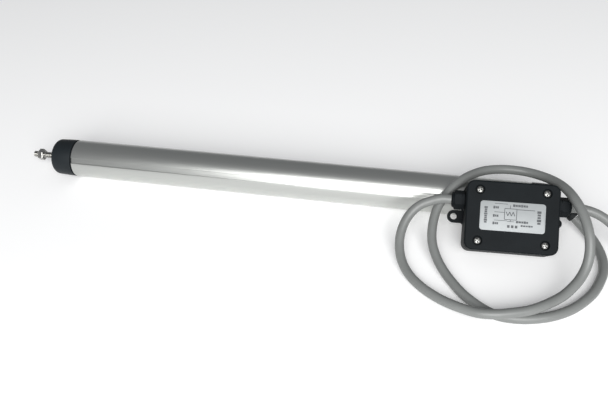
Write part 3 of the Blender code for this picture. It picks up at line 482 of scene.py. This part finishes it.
def build_cables():
    left_exit = BOX @ (Vector((-EXIT_U, GLAND_V, GLAND_N)) * MM)
    right_exit = BOX @ (Vector((EXIT_U, GLAND_V, GLAND_N)) * MM)
    outward = BOX.to_3x3() @ Vector((EXIT_STRAIGHT * MM, 0.0, 0.0))
    route = [on_table(*place) for place in ACTUATOR_ROUTE] + [left_exit - outward, left_exit]
    line = smooth_route(route, CABLE_STEP * MM)
    actuator = cable("actuator_lead", line, CABLE_R, "cable_pvc")
    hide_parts("actuator_cable")

    stretch = [right_exit, right_exit + outward * 0.7] + [on_table(*place) for place in SUPPLY_ROUTE]
    line = smooth_route(stretch + coil_line(), CABLE_STEP * MM)
    supply = cable("supply_lead", line, CABLE_R, "cable_pvc")
    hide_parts("supply_cable", "supply_coil")
    cores = []
    for name, slot, side, node in (("supply_core_brown", "wire_brown", 1.0, "supply_wire_brown"),
                                   ("supply_core_blue", "wire_blue", -1.0, "supply_wire_blue")):
        radii = [WIRE_R] * CORE_BARE + [BARE_R] * (CORE_POINTS - CORE_BARE)
        core = sweep(name, core_line(side), radii, slot, sides=16)
        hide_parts(node)
        cores.append(core)
    cores + build_tie()


def build_tie():
    """The flat tie round the coil, as a plain closed band."""
    low, high = COIL_MEAN_R - COIL_HALF - TIE_GAP, COIL_MEAN_R + COIL_HALF + TIE_GAP
    bottom, top = 1.2, 26.0
    centre_x, centre_z = (low + high) / 2, (bottom + top) / 2

    def outline(grow):
        half_x, half_z, corner = (high - low) / 2 + grow, (top - bottom) / 2 + grow, 1.0 + grow
        points = []
        for sx, sz, start in ((1, 1, 0), (-1, 1, 90), (-1, -1, 180), (1, -1, 270)):
            points += arc(centre_x + sx * (half_x - corner), centre_z + sz * (half_z - corner), corner,
                          start, start + 90, 6)
        return points

    points, loops = [], []
    for y, grow in ((-1.7, 0.1), (-1.8, 0.25), (-1.8, 0.85), (-1.7, 1.0),
                    (1.7, 1.0), (1.8, 0.85), (1.8, 0.25), (1.7, 0.1)):
        shape = outline(grow)
        loops.append(list(range(len(points), len(points) + len(shape))))
        points += [on_table(COIL_X + x, COIL_Y + y, z) for x, z in shape]
    band = make("tie_band", points, ring_faces(loops, closed=True), "black_plastic")
    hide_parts("coil_tie")
    return [band]


# ---------------------------------------------------------------- tube, caps and rod
GROOVE_ANGLES = (150.0, 330.0)               # degrees round the tube


def keyed_outline(r, key_r, half_width):
    """The tube's section with its two grooves. key_r is the radius inside a groove."""
    per_side = 80
    points = []
    for start, end in ((GROOVE_ANGLES[0], GROOVE_ANGLES[1]), (GROOVE_ANGLES[1], GROOVE_ANGLES[0] + 360.0)):
        low, high = math.radians(start), math.radians(end)
        edge = math.asin(half_width / r)
        key_edge = math.asin(half_width / key_r)
        for k in range(4):
            turn = low - key_edge + 2 * key_edge * k / 3
            points.append((key_r * math.cos(turn), key_r * math.sin(turn)))
        for k in range(per_side + 1):
            turn = low + edge + (high - low - 2 * edge) * k / per_side
            points.append((r * math.cos(turn), r * math.sin(turn)))
    return points


def build_tube():
    # (station, how much the radius grows) from the front end to the rear, with rounded ends
    steps = [(23.5, -0.25), (23.65, -0.06), (23.9, 0.0), (456.1, 0.0), (456.35, -0.06), (456.5, -0.25)]
    count = len(steps)
    outside = softened(keyed_outline(18.0, 17.0, 2.5), 0.35)
    inside = softened(keyed_outline(16.0, 14.7, 1.7), 0.3)
    points, rings = [], []
    for outline, order, sign in ((outside, steps, 1.0), (inside, list(reversed(steps)), -1.0)):
        for station, grow in order:
            rings.append(list(range(len(points), len(points) + len(outline))))
            for y, z in outline:
                scale = 1.0 + sign * grow / math.hypot(y, z)
                points.append(at(station, y * scale, z * scale))
    faces = []
    for group in (rings[:count], rings[count:]):
        faces += ring_faces(group, closed=False, cap_ends=False)
    tube = make("tube_skin", points, faces, "anodised", body=None, outward=False)
    shape = bmesh.new()
    shape.from_mesh(tube.data)
    shape.verts.ensure_lookup_table()
    for first, last in ((rings[count - 1], rings[count]), (rings[-1], rings[0])):
        edges = []
        for ring in (first, last):
            verts = [shape.verts[i] for i in ring]
            edges += [shape.edges.get((verts[i], verts[(i + 1) % len(verts)])) for i in range(len(verts))]
        bmesh.ops.bridge_loops(shape, edges=edges)
    bmesh.ops.recalc_face_normals(shape, faces=shape.faces)
    shape.to_mesh(tube.data)
    shape.free()
    tube.data.shade_smooth()
    tube.data.set_sharp_from_angle(angle=math.radians(SHARP))
    register(tube)
    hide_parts("outer_tube")


def build_caps():
    nose = [(0.0, 12.2)] + arc(5.4, 12.2, 5.2, 180.0, 97.0, 14)[1:]
    bore = [(0.0, 11.0), (6.3, 11.0), (6.4, 8.7), (7.0, 8.7), (7.1, 11.0), (36.0, 11.0)]
    front = lathe("front_cap_shell", nose + [(22.0, 17.95), (22.05, 15.6), (36.0, 15.6)], "black_plastic",
                  inner=bore, soft=0.3)
    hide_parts("front_cap")
    seal = lathe("front_seal_ring", [(22.3, 17.0), (23.2, 17.0)], "rubber",
                 inner=[(22.3, 15.9), (23.2, 15.9)], soft=0.2)
    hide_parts("front_cap_seal")
    wiper = lathe("rod_wiper", [(0.5, 9.2), (1.2, 10.7), (6.0, 10.7)], "rubber",
                  inner=[(0.5, 8.4), (2.5, 8.6), (4.0, 9.2), (6.0, 9.2)], soft=0.25)
    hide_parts("wiper_seal")
    tail = arc(476.6, 14.55, 3.4, 88.0, 0.0, 14)
    rear = lathe("rear_cap_shell", [(446.0, 15.6), (457.95, 15.6), (458.0, 17.95)] + tail, "black_plastic",
                 inner=[(446.0, 12.0), (472.0, 12.0), (472.1, 6.6), (480.0, 6.6)], soft=0.3)
    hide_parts("rear_cap")
    seal = lathe("rear_seal_ring", [(456.8, 17.0), (457.7, 17.0)], "rubber",
                 inner=[(456.8, 15.9), (457.7, 15.9)], soft=0.2)
    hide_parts("rear_cap_seal")
    build_boot()


def build_boot():
    """The moulded strain relief: a flange inside the cap, then a tapering sleeve with bending grooves."""
    knots = ((480.5, -0.1, -0.1), (484.7, -1.0, -0.9), (488.8, -2.9, -2.3), (492.5, -5.4, -3.9),
             (495.8, -8.1, -5.5))
    line = smooth_route([at(*knot) for knot in knots], 0.35 * MM)
    total = length_of(line)
    radii, run = [], 0.0
    for i, point in enumerate(line):
        run += (point - line[i - 1]).length if i else 0.0
        part = run / total
        size = 6.2 - 1.1 * part
        wave = math.sin(math.tau * (run / MM - 2.0) / 2.9)
        if 1.6 * MM < run < total - 1.9 * MM:
            size -= 0.5 * max(0.0, min(1.0, 1.4 * wave))
        radii.append(size)
    radii[-1] -= 0.3
    radii[-2] -= 0.08
    front = [at(s) for s in (469.0, 469.25, 471.1, 471.35, 471.7, 476.0)]
    front_radii = [8.15, 8.4, 8.4, 8.1, 6.2, 6.2]
    boot = sweep("boot_sleeve", front + line, front_radii + radii, "rubber", sides=48)
    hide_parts("cable_boot")


def thread(pitch, crest_r, root_r, start, end, steps, per_turn):
    """Loops of a right-hand thread along the axis: (station, turn, radius) with blended ends."""
    run_out = 0.6
    rows = max(8, round((end - start) / pitch * per_turn))
    loops = []
    for row in range(rows + 1):
        station = start + (end - start) * row / rows
        fade = min(1.0, (station - start) / (run_out * pitch), (end - station) / (run_out * pitch))
        loop = []
        for i in range(steps):
            turn = math.tau * i / steps
            phase = (station / pitch + turn / math.tau) % 1.0
            ridge = min(1.0, max(0.0, 2.4 * (0.5 - abs(phase - 0.5)) - 0.1))
            loop.append((station, turn, crest_r - (crest_r - root_r) * (1.0 - ridge) * max(0.0, fade)))
        loops.append(loop)
    return loops


def threaded(name, before, loops, after, slot, body):
    """A rod with plain ends, given as (station, radius), and a thread between them."""
    steps = len(loops[0])
    points, rings = [], []

    def plain(station, r):
        rings.append(list(range(len(points), len(points) + steps)))
        points.extend(at(station, r * math.cos(math.tau * i / steps), r * math.sin(math.tau * i / steps))
                      for i in range(steps))

    for station, r in before:
        plain(station, r)
    for loop in loops:
        rings.append(list(range(len(points), len(points) + steps)))
        points.extend(at(station, r * math.cos(turn), r * math.sin(turn)) for station, turn, r in loop)
    for station, r in after:
        plain(station, r)
    return make(name, points, ring_faces(rings, closed=False), slot, body, sharp=40.0)


def build_rod():
    rod = lathe("rod_tube", [(1.0, 8.0), (303.7, 8.0)], "stainless", inner=[(1.0, 6.3), (303.7, 6.3)],
                body="rod", soft=0.35)
    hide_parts("push_tube")
    plug = lathe("rod_plug", [(-1.6, 6.8), (-1.0, 7.8), (0.7, 7.8), (0.8, 6.0), (14.0, 6.0)], "stainless",
                 inner=[(-1.6, 3.3), (14.0, 3.3)], body="rod", soft=0.25)
    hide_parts("rod_end_plug")
    stud = threaded("stud_thread", [(-25.8, 2.1), (-25.6, 2.3)],
                    thread(1.0, 3.0, 2.42, -25.2, 10.0, 48, 14),
                    [(10.4, 3.0), (10.6, 2.8)], "stainless", "rod")
    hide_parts("threaded_stud")

    start, thick, flats = -20.0, 5.0, 10.0
    corner_r = flats / math.sqrt(3.0)
    outline = []
    for k in range(ROUND):
        turn = math.tau * k / ROUND
        side = (turn + math.pi / 6) % (math.pi / 3) - math.pi / 6
        from_flat = side + (math.pi / 6 if side < 0 else -math.pi / 6)
        outline.append((turn, min(corner_r, flats / 2 / math.cos(from_flat))))
    points, rings = [], []
    for depth, limit, inside in ((0.0, 4.75, False), (0.5, 5.95, False), (thick - 0.5, 5.95, False),
                                 (thick, 4.75, False), (thick, 3.7, True), (thick - 0.5, 3.3, True),
                                 (0.5, 3.3, True), (0.0, 3.7, True)):
        rings.append(list(range(len(points), len(points) + ROUND)))
        for turn, r in outline:
            size = limit if inside else min(r, limit + 0.9 * max(0.0, r - 5.0))
            points.append(at(start + depth, size * math.cos(turn), size * math.sin(turn)))
    nut = make("rod_nut", points, ring_faces(rings, closed=True), "stainless", "rod", 20.0)
    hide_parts("hex_nut")


def build_screw():
    screw = threaded("screw_thread", [(40.0, 2.8), (40.2, 3.0), (46.0, 3.0), (46.1, 4.6)],
                     thread(4.0, 5.0, 4.2, 46.3, 333.0, 40, 14),
                     [(333.3, 5.0), (333.4, 3.7), (346.8, 3.7), (347.0, 3.5)], "steel", "screw")
    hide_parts("lead_screw")


# ---------------------------------------------------------------- control box
BOX_WALL = 2.0
SCREW_PLACES = [(sx * 26.8, sy * 21.3) for sx in (-1, 1) for sy in (-1, 1)]
SCREW_TURNS = (17.0, 62.0, 38.0, 81.0)       # degrees, for each screw's recess
# for each ear: its side, how far the centre of its end is from the wall, and the radii of its end and hole
EARS = ((-1, 7.7, 5.5, 2.8), (1, 3.7, 3.9, 1.7))


def rounded_rectangle(width, height, corner):
    points = []
    for sx, sy, start in ((1, 1, 0.0), (-1, 1, 90.0), (-1, -1, 180.0), (1, -1, 270.0)):
        x, y = sx * (width / 2 - corner), sy * (height / 2 - corner)
        points += arc(x, y, corner, start, start + 90.0, 8)
    return points


def box_outline(inset):
    return rounded_rectangle(BOX_LENGTH - 2 * inset, BOX_HEIGHT - 2 * inset, BOX_CORNER - inset)


def rim(height, radius, up, steps=4):
    """(height, inset) pairs of a rounded rim, which ends a wall at its top or starts one at its bottom."""
    pairs = []
    for k in range(steps + 1):
        turn = math.radians(90.0 * k / steps)
        if up:
            pairs.append((height - radius + radius * math.sin(turn), radius - radius * math.cos(turn)))
        else:
            pairs.append((height + radius - radius * math.cos(turn), radius - radius * math.sin(turn)))
    return pairs


def post(name, x, y, profile, steps=32):
    """A turned shape in the box's frame, from (height, radius) pairs."""
    turns = [math.tau * i / steps for i in range(steps)]
    outlines = [(height, [(x + r * math.cos(turn), y + r * math.sin(turn)) for turn in turns])
                for height, r in profile]
    return loft(name, outlines, "black_plastic", BOX, body=None)


def build_base():
    wall = [(2.2, BOX_WALL + 0.8), (3.0, BOX_WALL), (21.5, BOX_WALL),
            (21.8, BOX_WALL - 0.3), (21.8, 0.3), (21.5, 0.0)]
    outlines = [(h, box_outline(i)) for h, i in wall + list(reversed(rim(0.0, 0.9, False)))]
    base = loft("base_shell", outlines, "black_plastic", BOX, body=None)
    for side, out, end_r, hole_r in EARS:
        reach = BOX_LENGTH / 2 + out
        root, neck = side * (BOX_LENGTH / 2 - 1.2), side * (BOX_LENGTH / 2 + 1.4)
        outline = [(root, end_r + 2.0), (neck, end_r)]
        for degrees in range(90, -91, -9):
            turn = math.radians(degrees)
            outline.append((side * (reach + end_r * math.cos(turn)), end_r * math.sin(turn)))
        outline += [(neck, -end_r), (root, -end_r - 2.0)]
        middle = Vector((side * (BOX_LENGTH / 2 + out / 2), 0.0))
        layers = []
        for height, scale in ((0.05, 0.93), (0.5, 1.0), (2.7, 1.0), (3.05, 0.97), (3.2, 0.93)):
            layers.append((height, [tuple(middle + (Vector(p) - middle) * scale) for p in outline]))
        carve(base, loft("ear", layers, "black_plastic", BOX, body=None), "UNION")
        hole = [(-1.0, hole_r), (2.7, hole_r), (3.25, hole_r + 0.5), (4.5, hole_r + 0.5)]
        carve(base, post("ear_hole", side * reach, 0.0, hole))
        carve(base, gland_round("port", side, [(-6.0, 6.0), (4.0, 6.0)]))
    for x, y in SCREW_PLACES:
        carve(base, post("boss", x, y, [(1.0, 3.8), (21.5, 3.8)]), "UNION")
        carve(base, post("pilot", x, y, [(6.0, 1.6), (24.0, 1.6)]))
    register(even_shading(base))
    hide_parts("box_base")


def build_lid():
    wall = [(28.0, BOX_WALL + 0.8), (27.2, BOX_WALL), (23.7, BOX_WALL),
            (23.4, BOX_WALL - 0.3), (23.4, 0.25), (23.65, 0.0)]
    outlines = [(h, box_outline(i)) for h, i in wall + rim(30.0, 1.5, True, 6)]
    lid = loft("lid_shell", outlines, "black_plastic", BOX, body=None)
    counterbore = [(27.7, 3.5), (27.9, 3.7), (29.6, 3.7), (30.2, 4.3), (31.0, 4.3)]
    for x, y in SCREW_PLACES:
        carve(lid, post("pad", x, y, [(23.8, 4.7), (29.0, 4.7)]), "UNION")
        carve(lid, post("counterbore", x, y, counterbore))
        carve(lid, post("clearance", x, y, [(21.0, 1.6), (29.0, 1.6)]))
    register(even_shading(lid))
    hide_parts("box_lid")


def build_lid_screws():
    """Pan heads with a cross recess, each turned a little differently."""
    head_r, edge = 2.85, 29.2
    profile = [(9.0, 0.6), (9.8, 1.3), (28.0, 1.3), (28.05, 2.55), (28.15, head_r), (edge, head_r)]
    for degrees in range(15, 91, 15):
        turn = math.radians(degrees)
        profile.append((edge + 0.9 * math.sin(turn), head_r - 1.9 * (1 - math.cos(turn))))
    for number, ((x, y), degrees) in enumerate(zip(SCREW_PLACES, SCREW_TURNS), 1):
        head = post(f"screw_head_{number}", x, y, profile, 40)
        head.data.materials.clear()
        head.data.materials.append(LOOKS["screw_steel"])
        for quarter in (0.0, math.pi / 2):
            turn = math.radians(degrees) + quarter
            c, s = math.cos(turn), math.sin(turn)
            slot = []
            for height, long, wide in ((28.25, 0.7, 0.4), (29.3, 1.75, 0.5), (30.6, 2.25, 0.58)):
                corners = [(long, wide), (-long, wide), (-long, -wide), (long, -wide)]
                slot.append((height, [(x + a * c - b * s, y + a * s + b * c) for a, b in corners]))
            carve(head, loft("recess", slot, "stainless", BOX, body=None))
        register(even_shading(head))
        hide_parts(f"lid_screw_{number}")


def gland_round(name, side, profile, steps=48, flats=None):
    """A turned or six-sided shape on a gland's axis, from (distance from the wall, radius) pairs."""
    outlines = []
    for out, r in profile:
        loop = []
        for i in range(steps):
            turn = math.tau * i / steps
            size = r
            if flats:
                face = turn % (math.pi / 3) - math.pi / 6
                size = min(r, flats / 2 / math.cos(face))
            loop.append((size * math.cos(turn), size * math.sin(turn)))
        outlines.append((out, loop))
    # local Z runs outward from the box's wall, and local Y up the box's normal
    turn = Matrix(((0.0, 0.0, side, side * BOX_LENGTH / 2 * MM), (side, 0.0, 0.0, GLAND_V * MM),
                   (0.0, 1.0, 0.0, GLAND_N * MM), (0.0, 0.0, 0.0, 1.0)))
    return loft(name, outlines, "black_plastic", BOX @ turn, body=None)


def build_glands():
    profile = [(-5.6, 5.2), (-5.4, 5.7), (0.35, 5.7), (0.35, 7.5), (0.55, 8.1), (0.8, 8.43), (2.6, 8.43),
               (2.75, 7.75), (2.95, 7.75), (3.1, 8.43), (8.3, 8.43), (8.7, 8.1), (9.0, 7.5), (9.1, 6.6),
               (10.5, 6.2), (10.9, 5.6), (10.9, 4.4), (10.3, 4.35)]
    for side, label in ((-1, "left"), (1, "right")):
        body = gland_round(f"gland_body_{label}", side, profile, steps=ROUND, flats=14.6)
        register(even_shading(body))
        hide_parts(f"gland_{label}")


def build_gasket():
    layers = [(22.15, 0.5), (22.3, 0.3), (22.9, 0.3), (23.05, 0.5),
              (23.05, 1.7), (22.9, 1.85), (22.3, 1.85), (22.15, 1.7)]
    points, rings = [], []
    for height, inset in layers:
        shape = box_outline(inset)
        rings.append(list(range(len(points), len(points) + len(shape))))
        points += [BOX @ (Vector((x, y, height)) * MM) for x, y in shape]
    gasket = make("gasket_cord", points, ring_faces(rings, closed=True), "rubber")
    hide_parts("lid_gasket")


# ---------------------------------------------------------------- label
LABEL_TOP = 30.5


def printed(name, marks):
    """Thin printed marks on the label, each a list of corners in millimetres."""
    points, faces = [], []
    for corners in marks:
        first = len(points)
        count = len(corners)
        for height in (LABEL_TOP - 0.02, LABEL_TOP + 0.03):
            points += [BOX @ (Vector((x, y, height)) * MM) for x, y in corners]
        faces.append([first + i for i in reversed(range(count))])
        faces.append([first + count + i for i in range(count)])
        for i in range(count):
            j = (i + 1) % count
            faces.append([first + i, first + j, first + count + j, first + count + i])
    return make(name, points, faces, "ink")


def line_mark(x1, y1, x2, y2, width):
    a, b = Vector((x1, y1)), Vector((x2, y2))
    side = (b - a).normalized().orthogonal() * width / 2
    return [tuple(a + side), tuple(a - side), tuple(b - side), tuple(b + side)]


def bar(x, y, width, height):
    return [(x - width / 2, y - height / 2), (x + width / 2, y - height / 2), (x + width / 2, y + height / 2),
            (x - width / 2, y + height / 2)]


def dashes(x, y, widths, height, gap, upright=False):
    """A row of short blocks that stands for a line of small print."""
    marks, run = [], 0.0
    for k, width in enumerate(widths):
        middle = run + width / 2
        tall = height * (1.0 if k % 3 else 1.25)
        marks.append(bar(x, y - middle, tall, width) if upright else bar(x + middle, y, width, tall))
        run += width + gap
    return marks


def build_label():
    edge, face = rounded_rectangle(51.8, 24.0, 2.3), rounded_rectangle(52, 24.2, 2.4)
    layers = [(30.2, edge), (30.22, face), (30.46, face), (LABEL_TOP, edge)]
    plate = loft("label_foil_plate", layers, "label", BOX)
    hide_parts("label_plate")
    marks = dashes(-21.4, 7.4, (1.6, 1.3, 1.7, 1.3, 1.5, 1.2, 1.6, 1.3), 2.1, 0.3, upright=True)
    marks += dashes(21.0, 6.2, (2.0, 1.7, 1.6, 2.0, 1.6), 2.6, 0.5, upright=True)
    for y in (7.3, 0.4, -5.8):
        marks += dashes(-15.6, y - 0.2, (1.4, 1.1, 1.3), 1.8, 0.3)
    for y, end in ((10.3, -4.0), (3.3, -6.4), (-3.5, -4.0)):
        marks.append(line_mark(-14.6, y, end, y, 0.42))
    square = ((-6.4, 6.6), (3.2, 6.6), (3.2, -2.4), (-6.4, -2.4))
    marks += [line_mark(*a, *b, 0.5) for a, b in zip(square, square[1:] + square[:1])]
    zigzag = ((-5.2, 4.0), (-3.8, 0.7), (-2.4, 4.0), (-1.0, 0.7), (0.4, 4.0), (1.8, 0.7))
    marks += [line_mark(*a, *b, 0.62) for a, b in zip(zigzag, zigzag[1:])]
    marks.append(line_mark(3.2, 6.3, 17.6, 6.3, 0.5))
    marks.append(line_mark(-2.0, 6.6, -2.0, 9.4, 0.42))
    marks.append(line_mark(-4.0, -3.9, 1.4, -3.9, 0.42))
    marks.append(line_mark(-1.5, -2.4, -1.5, -3.9, 0.42))
    marks += dashes(0.0, 9.4, (1.9, 1.5, 2.1, 1.5, 1.8, 1.5), 1.7, 0.3)
    marks += dashes(3.0, -3.9, (1.6, 2.0, 1.5, 1.8, 1.4), 1.6, 0.3)
    marks += dashes(6.8, -6.8, (1.5, 1.9, 1.5, 1.9, 1.3), 1.2, 0.35)
    for k in range(3):
        marks.append(bar(-2.9 + 3.1 * k, -8.0, 2.0, 2.2))
    printed("label_print", marks)


# ---------------------------------------------------------------- floor and light
WORLD_STRENGTH = 0.24
FLOOR_GLOW = 0.14            # lifts the floor towards the white of the photograph's background
LIGHTS = (
    # name, place, target, width, height, power
    ("window", (0.45, -1.9, 1.35), (0.1, 0.0, 0.0), 2.2, 1.6, 84.0),
)


def build_stage():
    size = 6.0
    mesh = bpy.data.meshes.new("floor")
    mesh.from_pydata([(-size, -size, 0.0), (size, -size, 0.0), (size, size, 0.0), (-size, size, 0.0)], [],
                     [(0, 1, 2, 3)])
    floor = bpy.data.objects.new("floor", mesh)
    bpy.context.scene.collection.objects.link(floor)
    paint = bpy.data.materials.new("pale_floor")
    paint.use_nodes = True
    shader = paint.node_tree.nodes["Principled BSDF"]
    shader.inputs["Base Color"].default_value = (0.90, 0.90, 0.90, 1.0)
    shader.inputs["Roughness"].default_value = 0.9
    shader.inputs["Emission Color"].default_value = (1.0, 1.0, 1.0, 1.0)
    shader.inputs["Emission Strength"].default_value = FLOOR_GLOW
    mesh.materials.append(paint)

    world = bpy.data.worlds.new("studio")
    bpy.context.scene.world = world
    world.use_nodes = True
    world.node_tree.nodes["Background"].inputs["Color"].default_value = (0.95, 0.97, 1.0, 1.0)
    world.node_tree.nodes["Background"].inputs["Strength"].default_value = WORLD_STRENGTH

    for name, place, target, width, height, power in LIGHTS:
        data = bpy.data.lights.new(name, "AREA")
        data.shape = "RECTANGLE"
        data.size = width
        data.size_y = height
        data.energy = power
        lamp = bpy.data.objects.new(name, data)
        bpy.context.scene.collection.objects.link(lamp)
        lamp.location = place
        lamp.rotation_euler = (Vector(target) - Vector(place)).to_track_quat("-Z", "Y").to_euler()


bpy.context.scene.view_settings.view_transform = "Standard"
build_camera()
finish_nodes()
build_cables()
build_tube()
build_caps()
build_rod()
build_screw()
build_base()
build_lid()
build_gasket()
build_lid_screws()
build_glands()
build_label()
build_stage()

bpy.context.view_layer.update()
